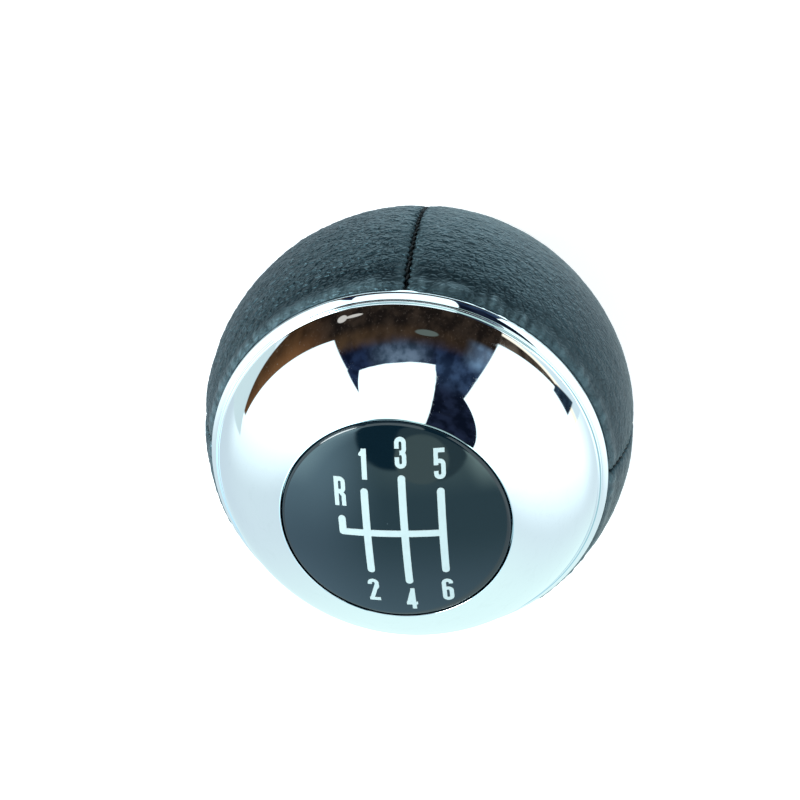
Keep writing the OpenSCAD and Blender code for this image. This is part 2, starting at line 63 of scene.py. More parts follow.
class Shader:
    """A node tree with one Principled surface, and short names for the nodes that feed it."""

    def __init__(self, name):
        self.mat = bpy.data.materials.new(name)
        self.mat.use_nodes = True
        self.tree = self.mat.node_tree
        self.surface = self.tree.nodes["Principled BSDF"]

    def link(self, source, target):
        self.tree.links.new(source, target)

    def add(self, kind, **settings):
        node = self.tree.nodes.new(kind)
        for key, value in settings.items():
            setattr(node, key, value)
        return node

    def put(self, node, socket, value):
        if isinstance(value, bpy.types.NodeSocket):
            self.link(value, node.inputs[socket])
        else:
            node.inputs[socket].default_value = value

    def set(self, **values):
        names = {
            "color": "Base Color", "metallic": "Metallic", "roughness": "Roughness",
            "specular": "Specular IOR Level", "coat": "Coat Weight",
            "coat_roughness": "Coat Roughness", "ior": "IOR", "normal": "Normal",
            "specular_tint": "Specular Tint",
        }
        for key, value in values.items():
            if isinstance(value, tuple):
                value = (*value, 1.0)
            self.put(self.surface, names[key], value)

    def coords(self, kind="Object"):
        return self.add("ShaderNodeTexCoord").outputs[kind]

    def mapped(self, vector, scale, offset=(0, 0, 0)):
        node = self.add("ShaderNodeMapping")
        self.link(vector, node.inputs["Vector"])
        node.inputs["Scale"].default_value = scale
        node.inputs["Location"].default_value = offset
        return node.outputs["Vector"]

    def noise(self, vector, scale, detail=3.0, roughness=0.5, distortion=0.0, out="Fac"):
        node = self.add("ShaderNodeTexNoise")
        self.link(vector, node.inputs["Vector"])
        node.inputs["Scale"].default_value = scale
        node.inputs["Detail"].default_value = detail
        node.inputs["Roughness"].default_value = roughness
        node.inputs["Distortion"].default_value = distortion
        return node.outputs[out]

    def voronoi(self, vector, scale, feature="DISTANCE_TO_EDGE", randomness=1.0):
        node = self.add("ShaderNodeTexVoronoi", feature=feature)
        self.link(vector, node.inputs["Vector"])
        node.inputs["Scale"].default_value = scale
        node.inputs["Randomness"].default_value = randomness
        return node.outputs["Distance"]

    def ramp(self, value, low, high, to_low=0.0, to_high=1.0, smooth=True):
        node = self.add("ShaderNodeMapRange")
        node.interpolation_type = "SMOOTHSTEP" if smooth else "LINEAR"
        self.put(node, "Value", value)
        self.put(node, "From Min", low)
        self.put(node, "From Max", high)
        self.put(node, "To Min", to_low)
        self.put(node, "To Max", to_high)
        return node.outputs["Result"]

    def math(self, operation, a, b=None, clamp=False):
        node = self.add("ShaderNodeMath", operation=operation, use_clamp=clamp)
        self.put(node, 0, a)
        if b is not None:
            self.put(node, 1, b)
        return node.outputs[0]

    def mix(self, factor, a, b):
        node = self.add("ShaderNodeMix", data_type="RGBA")
        self.put(node, 0, factor)
        self.put(node, 6, (*a, 1.0) if isinstance(a, tuple) else a)
        self.put(node, 7, (*b, 1.0) if isinstance(b, tuple) else b)
        return node.outputs[2]

    def shift(self, vector, by, amount):
        """vector moved by a colour noise, which bends straight patterns."""
        centred = self.add("ShaderNodeVectorMath", operation="SUBTRACT")
        self.link(by, centred.inputs[0])
        centred.inputs[1].default_value = (0.5, 0.5, 0.5)
        scaled = self.add("ShaderNodeVectorMath", operation="SCALE")
        self.link(centred.outputs[0], scaled.inputs[0])
        scaled.inputs["Scale"].default_value = amount
        moved = self.add("ShaderNodeVectorMath", operation="ADD")
        self.link(vector, moved.inputs[0])
        self.link(scaled.outputs[0], moved.inputs[1])
        return moved.outputs[0]

    def bump(self, height, distance, strength=1.0, under=None):
        node = self.add("ShaderNodeBump")
        self.link(height, node.inputs["Height"])
        node.inputs["Distance"].default_value = distance
        node.inputs["Strength"].default_value = strength
        if under is not None:
            self.link(under, node.inputs["Normal"])
        return node.outputs["Normal"]


def leather_material():
    """Black leather: small pebbles drawn out along the ball's parallels, with pores, soft blotches,
    painted shade in the creases between pebbles, and a painted highlight along the hem. The mesh carries
    the hem's painted highlight as an attribute."""
    s = Shader("black_leather_grain")
    uv = s.coords("UV")
    bend = s.noise(s.mapped(uv, (0.7, 1.0, 1)), 1.0, 2.0, out="Color")
    grain_uv = s.shift(s.mapped(uv, (1.35, 2.05, 1)), bend, 0.45)
    edge = s.voronoi(grain_uv, 1.0)
    crease = s.ramp(edge, 0.0, 0.36)
    fine_uv = s.shift(s.mapped(uv, (3.0, 4.2, 1)), bend, 0.9)
    fine = s.ramp(s.voronoi(fine_uv, 1.0), 0.0, 0.45)
    pores = s.noise(uv, 5.0, 2.0, 0.5)
    wrinkle = s.noise(s.mapped(uv, (0.72, 1.25, 1)), 1.0, 1.0, 0.5)
    height = s.math("ADD", s.math("MULTIPLY", crease, 0.30), s.math("MULTIPLY", fine, 0.045))
    height = s.math("ADD", height, s.math("MULTIPLY", wrinkle, 0.85))
    height = s.math("ADD", height, s.math("MULTIPLY", pores, 0.05))
    slack = s.add("ShaderNodeAttribute", attribute_name="slack").outputs["Fac"]
    s.set(normal=s.bump(s.math("MULTIPLY", height, slack), 0.38 * MM, 1.0))
    blotch = s.ramp(s.noise(uv, 0.16, 4.0, 0.6), 0.3, 0.72)
    base = s.mix(blotch, (0.0030, 0.0075, 0.0105), (0.0055, 0.0125, 0.0160))
    wear_and_highlight = s.ramp(s.noise(uv, 0.62, 5.0, 0.7), 0.66, 0.80)
    base = s.mix(s.math("MULTIPLY", wear_and_highlight, 0.35), base, (0.040, 0.070, 0.095))
    # Painted shade: the creases between the pebbles are made darker
    base = s.mix(s.ramp(edge, 0.0, 0.12, 0.3, 0.0), base, (0.0020, 0.0040, 0.0055))
    # Painted highlight: the hem, the seam edges and the crests of the hem's folds are made paler, as where
    # light catches them
    painted_highlight = s.add("ShaderNodeAttribute", attribute_name="painted_highlight").outputs["Fac"]
    patchy = s.ramp(s.noise(uv, 1.4, 4.0, 0.7), 0.35, 0.62)
    patchy = s.math("ADD", 0.45, s.math("MULTIPLY", patchy, 0.55))
    base = s.mix(s.math("MULTIPLY", painted_highlight, patchy), base, (0.095, 0.134, 0.148))
    s.set(color=base)
    sheen = s.math("ADD", s.ramp(s.noise(uv, 0.45, 3.0), 0.2, 0.8, 0.33, 0.41),
                   s.ramp(edge, 0.0, 0.15, 0.06, 0.0))
    gloss = s.ramp(s.math("ADD", edge, s.math("MULTIPLY", wrinkle, 0.5)), 0.12, 0.42, 0.42, 0.82)
    pressed = s.add("ShaderNodeAttribute", attribute_name="pressed").outputs["Fac"]
    dull = s.math("SUBTRACT", 1.0, s.math("MULTIPLY", pressed, 0.42))
    s.set(roughness=sheen, specular=s.math("MULTIPLY", gloss, dull), specular_tint=(0.54, 0.86, 1.0))
    return s.mat


def thread_material():
    """Twisted black thread with a dull shine."""
    s = Shader("black_thread_twist")
    at = s.coords("Object")
    wave = s.add("ShaderNodeTexWave", wave_type="BANDS", bands_direction="DIAGONAL")
    s.link(at, wave.inputs["Vector"])
    wave.inputs["Scale"].default_value = 900.0
    wave.inputs["Distortion"].default_value = 1.2
    fuzz = s.noise(at, 9000.0, 2.0)
    height = s.math("ADD", wave.outputs["Fac"], s.math("MULTIPLY", fuzz, 0.4))
    s.set(normal=s.bump(height, 0.05 * MM, 0.8))
    s.set(color=s.mix(fuzz, (0.0015, 0.0020, 0.0026), (0.0050, 0.0065, 0.0080)))
    s.set(roughness=s.ramp(fuzz, 0.2, 0.8, 0.45, 0.65), specular=0.25)
    return s.mat


def chrome_material(name, tint, smear):
    """Polished chrome: nearly a mirror, with faint handling marks and the moulding's slow waves."""
    s = Shader(name)
    at = s.coords("Object")
    slow = s.noise(at, 70.0, 2.0, 0.4)
    marks = s.noise(s.mapped(at, (1, 1, 2.4)), 420.0, 6.0, 0.72, 0.6)
    film = s.ramp(marks, 0.48, 0.72)
    s.set(metallic=1.0)
    s.set(color=s.mix(s.math("MULTIPLY", film, 0.16), tint, tuple(0.86 * c for c in tint)))
    s.set(roughness=s.ramp(film, 0.0, 1.0, 0.022, 0.022 + smear, smooth=False))
    s.set(normal=s.bump(slow, 0.05 * MM, 0.10))
    return s.mat


def badge_material():
    """Gloss black moulding with a blue cast, hairline scuffs and a few specks of dust."""
    s = Shader("badge_gloss_black")
    at = s.coords("Object")
    lines = s.noise(s.mapped(at, (260, 2600, 400), (3, 1, 2)), 1.0, 3.0, 0.6)
    dust = s.voronoi(at, 620.0, "F1")
    speck = s.math("MULTIPLY", s.ramp(dust, 0.02, 0.06, 1.0, 0.0),
                   s.ramp(s.noise(at, 330.0, 1.0), 0.60, 0.66))
    base = s.mix(s.noise(at, 90.0, 3.0), (0.0022, 0.0085, 0.0140), (0.0034, 0.0115, 0.0180))
    s.set(color=s.mix(s.math("MULTIPLY", speck, 0.5), base, (0.12, 0.15, 0.17)))
    s.set(roughness=s.ramp(lines, 0.35, 0.85, 0.035, 0.085), specular=0.65)
    s.set(normal=s.bump(s.noise(at, 55.0, 1.0), 0.03 * MM, 0.12))
    return s.mat


def ink_material():
    """White printed ink, a little uneven, with a soft edge of gloss."""
    s = Shader("white_ink_print")
    at = s.coords("Object")
    patch = s.noise(at, 900.0, 4.0, 0.6)
    s.set(color=s.mix(patch, (0.66, 0.72, 0.71), (0.76, 0.82, 0.81)))
    s.set(roughness=s.ramp(patch, 0.3, 0.7, 0.42, 0.58), specular=0.4)
    s.set(normal=s.bump(s.noise(at, 5000.0, 2.0), 0.012 * MM, 0.5))
    return s.mat


def moulded_material(name, dark, pale, rough, texture=2600.0, depth=0.02):
    """Moulded plastic or rubber with a fine spark texture."""
    s = Shader(name)
    at = s.coords("Object")
    grain = s.noise(at, texture, 4.0, 0.65)
    s.set(color=s.mix(s.noise(at, 140.0, 4.0), dark, pale))
    s.set(roughness=s.ramp(grain, 0.3, 0.7, rough - 0.07, rough + 0.07), specular=0.5)
    s.set(normal=s.bump(grain, depth * MM, 0.7))
    return s.mat


def steel_material(name, dark, pale, rough, turned=True):
    """Bare steel with turning lines round the lever's axis, or a plain drawn surface."""
    s = Shader(name)
    at = s.coords("Object")
    stretch = (60, 60, 3800) if turned else (900, 900, 900)
    lines = s.noise(s.mapped(at, stretch), 1.0, 4.0, 0.6)
    s.set(metallic=1.0)
    s.set(color=s.mix(s.noise(at, 160.0, 4.0, 0.6), dark, pale))
    s.set(roughness=s.ramp(lines, 0.3, 0.7, rough - 0.08, rough + 0.08))
    s.set(normal=s.bump(lines, 0.008 * MM, 0.7))
    return s.mat


def tape_material():
    s = Shader("adhesive_tape_tissue")
    at = s.coords("Object")
    fibre = s.noise(s.mapped(at, (1, 3, 1)), 1500.0, 5.0, 0.7, 0.8)
    s.set(color=s.mix(fibre, (0.52, 0.49, 0.40), (0.74, 0.71, 0.62)))
    s.set(roughness=s.ramp(fibre, 0.3, 0.7, 0.5, 0.75), specular=0.35)
    s.set(normal=s.bump(fibre, 0.02 * MM, 0.5))
    return s.mat


# ---------------------------------------------------------------- meshes

def make_object(name, points, faces, material, smooth=True, uv=None):
    """A mesh from points in millimetres about the ball's centre."""
    co = np.asarray(points, float).reshape(-1, 3).copy()
    co[:, 2] += CENTRE_H
    mesh = bpy.data.meshes.new(name)
    mesh.from_pydata((co * MM).tolist(), [], faces)
    mesh.validate()
    mesh.update()
    mesh.polygons.foreach_set("use_smooth", [smooth] * len(mesh.polygons))
    if uv is not None:
        layer = mesh.uv_layers.new(name="grain_mm")
        index = np.empty(len(mesh.loops), np.int64)
        mesh.loops.foreach_get("vertex_index", index)
        layer.data.foreach_set("uv", np.asarray(uv, float)[index].ravel())
    mesh.materials.append(material)
    obj = bpy.data.objects.new(name, mesh)
    bpy.context.scene.collection.objects.link(obj)
    return obj


def on_ball(radius, lat, az):
    return np.stack([radius * np.cos(lat) * np.cos(az), radius * np.cos(lat) * np.sin(az),
                     radius * np.sin(lat)], -1)


def bell(x, width):
    return np.exp(-(x / width) ** 2)


ROWS = 215
ROLL = 9
INNER_COLS = 232
# How far the grain stands up round the ball: drawn flat on the right, loose on the left
SLACK_AZ = (0, 40, 82, 100, 130, 200, 260, 320, 360)
SLACK = (0.50, 0.50, 0.95, 1.15, 1.35, 1.15, 0.9, 0.7, 0.50)
# How far the hem carries a painted highlight round the ring: most where it is gathered, least by the front
# seam
HEM_HIGHLIGHT_AZ = (0, 35, 48, 60, 72, 92, 103, 150, 200, 360)
HEM_HIGHLIGHT = (0.5, 0.7, 1.15, 0.7, 0.35, 0.35, 1.0, 1.0, 0.5, 0.5)


def field(function, a, b, c):
    """A scalar noise taken at every point of three arrays."""
    flat = [function(Vector((x, y, z))) for x, y, z in zip(a.ravel(), b.ravel(), c.ravel())]
    return np.array(flat).reshape(a.shape)


def cell_edge(point):
    near = noise.voronoi(point)[0]
    return near[1] - near[0]


def leather_panel(name, first, second, seed, material):
    """One sewn panel: its outer face with rolled edges, seam puckers and the drawn-in hem, its tucked
    edges under the ring and the collar, and its back on the core."""
    a0, a1 = math.radians(first), math.radians(second)
    lat = np.linspace(HEM_LAT, COLLAR_LAT, ROWS)[:, None]
    rho = BALL_R * np.cos(lat)
    turn = np.linspace(0.0, math.pi / 2, ROLL, endpoint=False)
    roll_d = SEAM_EDGE_D - SEAM_EDGE_R * np.cos(turn)
    roll_drop = SEAM_EDGE_R * (1 - np.sin(turn))
    left = a0 + np.arcsin(roll_d[None, :] / rho)
    right = a1 - np.arcsin(roll_d[::-1][None, :] / rho)
    share = np.linspace(0.0, 1.0, INNER_COLS)[None, :]
    low = a0 + np.arcsin(SEAM_EDGE_D / rho)
    high = a1 - np.arcsin(SEAM_EDGE_D / rho)
    az = np.concatenate([left, low + (high - low) * share, right], 1)
    # The skin opens round each stitch and closes between two
    beat = 2 * math.pi * (lat - STITCH_LOW) * BALL_R / STITCH_PITCH
    for start, way in ((a0, 1), (a1, -1)):
        near = (az - start) * way * rho
        draw = (0.055 + 0.135 * np.cos(beat + 0.7 * way)) * np.exp(-((near - 0.25) / 0.55) ** 2)
        az = az + way * draw / rho
    drop = np.concatenate([roll_drop, np.zeros(INNER_COLS), roll_drop[::-1]])[None, :]
    drop = np.broadcast_to(drop, az.shape).copy()
    lat = np.broadcast_to(lat, az.shape)
    rho = np.broadcast_to(rho, az.shape)

    along = lat * BALL_R
    across = (az - a0) * rho
    d0 = across
    d1 = (a1 - az) * rho
    near = np.minimum(d0, d1)
    side = np.where(d0 < d1, 1.0, -1.0)
    from_ring = (HEM_LAT - lat) * BALL_R
    from_collar = (lat - COLLAR_LAT) * BALL_R
    open_skin = np.clip((near - 0.15) / 0.6, 0, 1)

    rise = np.zeros(az.shape)
    # Hem: a full fold that turns in to the ring's side, and lies lower where a seam pulls it back
    rise += 0.110 * bell(from_ring - 0.95, 0.65)
    rise -= 0.045 * bell(from_ring - 2.40, 0.85)
    rise -= 0.060 * np.clip(1 - from_ring / 0.75, 0, 1) ** 2
    rise -= 0.30 * bell(near, 1.25) * np.clip(1 - from_ring / 1.6, 0, 1) ** 1.5
    rise -= 0.30 * np.clip(1 - from_collar / 1.6, 0, 1) ** 2
    # Stitches draw the skin into small puckers square to the seam
    phase = 2 * math.pi * (along / STITCH_PITCH) + 0.6 * side
    wander = field(noise.noise, along * 0.55, near * 0.35 + seed * 9.1, side * 5.0)
    pull = 0.5 + 0.5 * np.cos(phase + 1.6 * wander)
    rise -= (0.10 * pull + 0.02) * bell(near - 0.6, 0.6)
    ridges = field(noise.noise, across * 0.22 + seed * 3.7, along * 2.6, side * 2.0)
    rise += 0.120 * ridges * np.exp(-np.clip(near - 0.2, 0, None) / 1.3) * open_skin
    creases = field(noise.noise, across * 0.16 + seed * 3.7, along * 1.15, side * 2.0)
    rise += 0.050 * creases * np.exp(-near / 5.0) * open_skin
    rise -= 0.07 * bell(near, 1.7)
    # Small folds square to the ring along part of the hem
    fold = field(noise.noise, az * 30.0, from_ring * 0.35, az * 0 + seed * 2.3)
    gather = np.clip(field(noise.noise, az * 3.1, az * 0 + 4.2, az * 0 + seed) + 0.45, 0, 1)
    gather = gather + 1.1 * bell(np.degrees(az) % 360 - 58, 15)
    rise += 0.19 * fold * gather * bell(from_ring - 0.95, 0.80)
    # Slow unevenness of the skin, then its pebbles: domes between creases of varying depth
    rise += 0.045 * field(noise.noise, across * 0.22, along * 0.22, az * 0 + seed * 6.4)
    bend_a = field(noise.noise, across * 0.75, along * 0.75, az * 0 + seed * 1.9)
    bend_b = field(noise.noise, across * 0.75, along * 0.75, az * 0 + seed * 1.9 + 40.0)
    pebble = field(cell_edge, across * 1.12 + 0.55 * bend_a, along * 1.85 + 0.55 * bend_b,
                   az * 0 + seed * 5.5)
    slack = np.interp(np.degrees(az) % 360, SLACK_AZ, SLACK)
    # The drawn skin lies smooth and tight behind the hem, most of all beside the front seam
    drawn = bell(from_ring - 1.3, 2.0)
    slack = slack * (1 - 0.62 * drawn)
    pressed = bell(from_ring - 2.7, 1.5) * (0.30 + 0.70 * bell(np.degrees(az) % 360 - 92, 34))
    loose = np.minimum(slack, 1.25) * open_skin
    depth = 0.036 + 0.015 * field(noise.noise, across * 0.5, along * 0.5, az * 0 + seed * 8.8)
    rise -= depth * (1 - np.clip(pebble / 0.62, 0, 1)) ** 1.5 * loose
    wrinkle = field(noise.noise, across * 0.75 + 0.3 * bend_a, along * 1.45 + 0.5 * bend_b,
                    az * 0 + seed * 12.7)
    rise += 0.070 * wrinkle * loose
    # Painted highlight: a paler band along the hem, paler still on the crests of its folds, and a little
    # paler beside the seams
    painted_highlight = bell(from_ring - 0.50, 0.72) * np.interp(np.degrees(az) % 360, HEM_HIGHLIGHT_AZ, HEM_HIGHLIGHT)
    painted_highlight = painted_highlight * (0.72 + 0.9 * fold) + 0.30 * bell(near - 0.7, 0.5)
    painted_highlight = painted_highlight + 2.2 * np.clip(fold - 0.05, 0, 1) * gather * bell(from_ring - 1.1, 0.7)
    painted_highlight = np.clip(painted_highlight, 0, 1)

    grid = on_ball(BALL_R - drop + rise, lat, az)
    rows, cols = az.shape
    points = [grid.reshape(-1, 3)]
    uv = [np.stack([across + seed * 61.0, along + seed * 23.0], -1).reshape(-1, 2)]
    faces = []
    count = rows * cols

    def quads(upper, lower):
        for i in range(len(upper) - 1):
            faces.append((upper[i], lower[i], lower[i + 1], upper[i + 1]))

    index = np.arange(rows * cols).reshape(rows, cols)
    for r in range(rows - 1):
        quads(index[r].tolist(), index[r + 1].tolist())

    def border(radii, heights, edge_row):
        """Rows that carry the skin on from one edge row to the given radii and heights."""
        nonlocal count
        made = [index[edge_row].tolist()]
        gap = SEAM_GAP / 2 + 0.02
        for r, z in zip(radii, heights):
            lo, hi = a0 + math.asin(gap / r), a1 - math.asin(gap / r)
            t = (az[edge_row] - az[edge_row, 0]) / (az[edge_row, -1] - az[edge_row, 0])
            angle = lo + (hi - lo) * t
            ring = np.stack([r * np.cos(angle), r * np.sin(angle), np.full(cols, z)], -1)
            points.append(ring)
            uv.append(np.stack([(angle - a0) * r + seed * 61.0, np.full(cols, z)], -1))
            made.append(list(range(count, count + cols)))
            count += cols
        return made

    top = border((RING_R - 0.06, RING_R - 0.5, 21.2, 20.35, 20.32),
                 (RING_Z - 0.02, RING_Z - 0.05, RING_Z - 0.05, RING_Z - 0.06, RING_Z - 1.25), 0)
    foot = border((16.1, 15.2, 15.12), (COLLAR_Z + 0.05, COLLAR_Z + 0.04, COLLAR_Z + 1.2), rows - 1)
    for k in range(len(top) - 1):
        quads(top[k + 1], top[k])
    for k in range(len(foot) - 1):
        quads(foot[k], foot[k + 1])

    # Back of the panel on the core: a coarser grid, its border sewn to the front's border
    back_rows, back_cols = 22, 22
    bl = np.linspace(math.asin((RING_Z - 1.3) / CORE_R), math.asin((COLLAR_Z + 1.3) / CORE_R),
                     back_rows)[:, None]
    brho = CORE_R * np.cos(bl)
    bshare = np.linspace(0.0, 1.0, back_cols)[None, :]
    b_lo = a0 + np.arcsin(0.17 / brho)
    b_hi = a1 - np.arcsin(0.17 / brho)
    baz = b_lo + (b_hi - b_lo) * bshare
    bl = np.broadcast_to(bl, baz.shape)
    back = on_ball(CORE_R + 0.03, bl, baz)
    back_index = np.arange(count, count + back_rows * back_cols).reshape(back_rows, back_cols)
    points.append(back.reshape(-1, 3))
    uv.append(np.stack([(baz - a0) * CORE_R, bl * CORE_R], -1).reshape(-1, 2))
    count += back_rows * back_cols
    for r in range(back_rows - 1):
        up, down = back_index[r].tolist(), back_index[r + 1].tolist()
        for i in range(back_cols - 1):
            faces.append((up[i], up[i + 1], down[i + 1], down[i]))

    def sew(fine, coarse, flip):
        """Triangles between two borders that run the same way with different counts."""
        i = j = 0
        n, m = len(fine) - 1, len(coarse) - 1
        while i < n or j < m:
            if j == m or (i < n and (i + 1) * m <= (j + 1) * n):
                tri = (fine[i], fine[i + 1], coarse[j])
                i += 1
            else:
                tri = (fine[i], coarse[j + 1], coarse[j])
                j += 1
            faces.append(tri[::-1] if flip else tri)

    left_edge = [row[0] for row in top[:0:-1]] + index[:, 0].tolist() + [row[0] for row in foot[1:]]
    right_edge = ([row[-1] for row in top[:0:-1]] + index[:, -1].tolist()
                  + [row[-1] for row in foot[1:]])
    sew(top[-1], back_index[0].tolist(), False)
    sew(foot[-1], back_index[-1].tolist(), True)
    sew(left_edge, back_index[:, 0].tolist(), True)
    sew(right_edge, back_index[:, -1].tolist(), False)

    obj = make_object(name + "_cover", np.concatenate(points), faces, material,
                      uv=np.concatenate(uv))
    for label, values in (("painted_highlight", painted_highlight), ("slack", slack), ("pressed", pressed)):
        wear_and_highlight = np.zeros(len(obj.data.vertices))
        wear_and_highlight[:rows * cols] = values.ravel()
        obj.data.attributes.new(label, "FLOAT", "POINT").data.foreach_set("value", wear_and_highlight)
    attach(obj, "root")
    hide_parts(name)
    return obj


def tube(path, radius, sides, points, faces, taper=1.0):
    """Adds a closed tube along a path to points and faces."""
    path = np.asarray(path, float)
    start = sum(len(p) for p in points)
    n = len(path)
    tangent = np.gradient(path, axis=0)
    tangent /= np.linalg.norm(tangent, axis=1)[:, None]
    up = path / np.linalg.norm(path, axis=1)[:, None]
    across = np.cross(tangent, up)
    across /= np.linalg.norm(across, axis=1)[:, None]
    over = np.cross(across, tangent)
    turn = np.linspace(0, 2 * math.pi, sides, endpoint=False)
    size = np.full(n, radius)
    size[0] *= taper
    size[-1] *= taper
    ring = (path[:, None, :] + size[:, None, None] * (np.cos(turn)[None, :, None] * across[:, None, :]
            + np.sin(turn)[None, :, None] * over[:, None, :]))
    points.append(ring.reshape(-1, 3))
    for k in range(n - 1):
        for i in range(sides):
            a, b = start + k * sides + i, start + k * sides + (i + 1) % sides
            faces.append((a, b, b + sides, a + sides))
    faces.append(tuple(start + i for i in range(sides))[::-1])
    faces.append(tuple(start + (n - 1) * sides + i for i in range(sides)))


def seam_thread(name, angle, seed, material):
    """Thread of one seam: a strand down the groove, and a slanted stitch over it at every pitch."""
    a = math.radians(angle)
    low, high = STITCH_LOW, RING_LAT - math.radians(1.0)
    points, faces = [], []
    lats = np.linspace(low, high, 120)
    weave = 0.05 * np.sin(lats * BALL_R / STITCH_PITCH * 2 * math.pi)
    strand = on_ball(np.full(lats.shape, BALL_R - 0.80), lats, a + weave / (BALL_R * np.cos(lats)))
    tube(strand, 0.14, 10, points, faces, 0.3)
    step = STITCH_PITCH / BALL_R
    count = int((high - low) / step)
    rng = np.random.default_rng(seed)
    for k in range(1, count):
        mid = low + k * step + rng.normal(0, 0.03) / BALL_R
        u = np.linspace(-1, 1, 9)
        reach = 0.15 + rng.normal(0, 0.03)
        slant = 0.33 + rng.normal(0, 0.05)
        d = u * reach + rng.normal(0, 0.05)
        lat = mid + u * slant / BALL_R
        height = BALL_R - 0.30 - 0.14 * u ** 2 - 0.20 * np.abs(u) ** 6 + rng.normal(0, 0.04)
        path = on_ball(height, lat, a + d / (BALL_R * np.cos(lat)))
        tube(path, 0.13, 8, points, faces, 0.5)
    obj = make_object(name + "_sewn", np.concatenate(points), faces, material)
    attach(obj, "root")
    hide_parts(name)
    return obj


def lathe(name, outline, material, node, segments=400, extra=None):
    """A closed solid of revolution about the lever's axis from an outline of (radius, height) pairs that
    runs counter-clockwise, which starts and ends on the axis or closes on itself."""
    outline = np.array(outline, float)
    on_axis = outline[:, 0] < 1e-6
    turn = np.linspace(0, 2 * math.pi, segments, endpoint=False)
    points, rings, count = [], [], 0
    for (r, z), central in zip(outline, on_axis):
        if central:
            points.append([[0.0, 0.0, z]])
            rings.append([count] * segments)
            count += 1
        else:
            points.append(np.stack([r * np.cos(turn), r * np.sin(turn), np.full(segments, z)], -1))
            rings.append(list(range(count, count + segments)))
            count += segments
    faces = []
    closed = not (on_axis[0] and on_axis[-1])
    pairs = list(zip(rings, rings[1:] + rings[:1])) if closed else list(zip(rings, rings[1:]))
    for low, high in pairs:
        for i in range(segments):
            j = (i + 1) % segments
            corners = [low[i], low[j], high[j], high[i]]
            unique = [c for k, c in enumerate(corners) if c not in corners[:k]]
            if len(unique) > 2:
                faces.append(tuple(unique))
    if extra is not None:
        for block_points, block_faces in extra:
            points.append(block_points)
            faces.extend(tuple(i + count for i in face) for face in block_faces)
            count += len(block_points)
    obj = make_object(name, np.concatenate([np.asarray(p, float) for p in points]), faces, material)
    obj.data.set_sharp_from_angle(angle=math.radians(32))
    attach(obj, "root")
    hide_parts(node)
    return obj


def arc(centre, radius, start, end, count):
    """Points on a circle from one angle to another, in degrees."""
    t = np.radians(np.linspace(start, end, count))
    return [(centre[0] + radius * math.cos(a), centre[1] + radius * math.sin(a)) for a in t]


def angle_of(centre, point):
    return math.degrees(math.atan2(point[1] - centre[1], point[0] - centre[0]))


def sector(outline, left, right, count):
    """A closed block swept about the axis. left and right give the angle of each end at a radius."""
    outline = np.array(outline, float)
    n = len(outline)
    points = []
    for k in range(count + 1):
        for r, z in outline:
            a = left(r) + (right(r) - left(r)) * k / count
            points.append((r * math.cos(a), r * math.sin(a), z))
    faces = []
    for k in range(count):
        for i in range(n):
            j = (i + 1) % n
            faces.append((k * n + i, (k + 1) * n + i, (k + 1) * n + j, k * n + j))
    faces.append(tuple(range(n)))
    faces.append(tuple(count * n + i for i in range(n))[::-1])
    return points, faces


# Ring, dome and badge as in the part's source, with finer facets for clean reflections
SLIP = 0.1
RING_BORE_R = RING_R - 3.15
CORNER = (RING_R - 0.33, RING_Z + 0.28)
CROWN_R = 1.75
CROWN = (CORNER[0] - (CROWN_R - 0.33) * math.cos(math.radians(47)),
         CORNER[1] - (CROWN_R - 0.33) * math.sin(math.radians(47)))
RING_TOP_R = CROWN[0] + CROWN_R * math.cos(math.radians(68))
RING_TOP_Z = CROWN[1] + CROWN_R * math.sin(math.radians(68))
BADGE_R = 12.5
BADGE_FACE_R = 38.0
BADGE_EDGE_R = 0.6
LIP_TOP_Z = RING_TOP_Z + 0.46
RIM_Z = LIP_TOP_Z + 9.24
SEAT_R = BADGE_R + SLIP
SEAT_Z = RIM_Z - 1.5 - 0.25
BULGE_R = 16.4
SKIRT_R = RING_BORE_R - SLIP
SKIRT_IN_R = SKIRT_R - 1.5
SKIRT_Z = RING_Z - 1.3 - 2.2 - SLIP - 1.2
HOOK_W = 6.0
SLOT_W = 1.2


def trim_ring(material):
    top_bevel = 0.04
    outline = [(RING_BORE_R, RING_Z), (RING_R, RING_Z)]
    outline += arc(CORNER, 0.33, 0, 47, 14)
    outline += arc(CROWN, CROWN_R, 47, 68, 16)[1:]
    outline += [(RING_TOP_R - top_bevel, RING_TOP_Z + 0.0), (RING_BORE_R, RING_TOP_Z)]
    lathe("trim_ring_polished", outline, material, "trim_ring", 480)


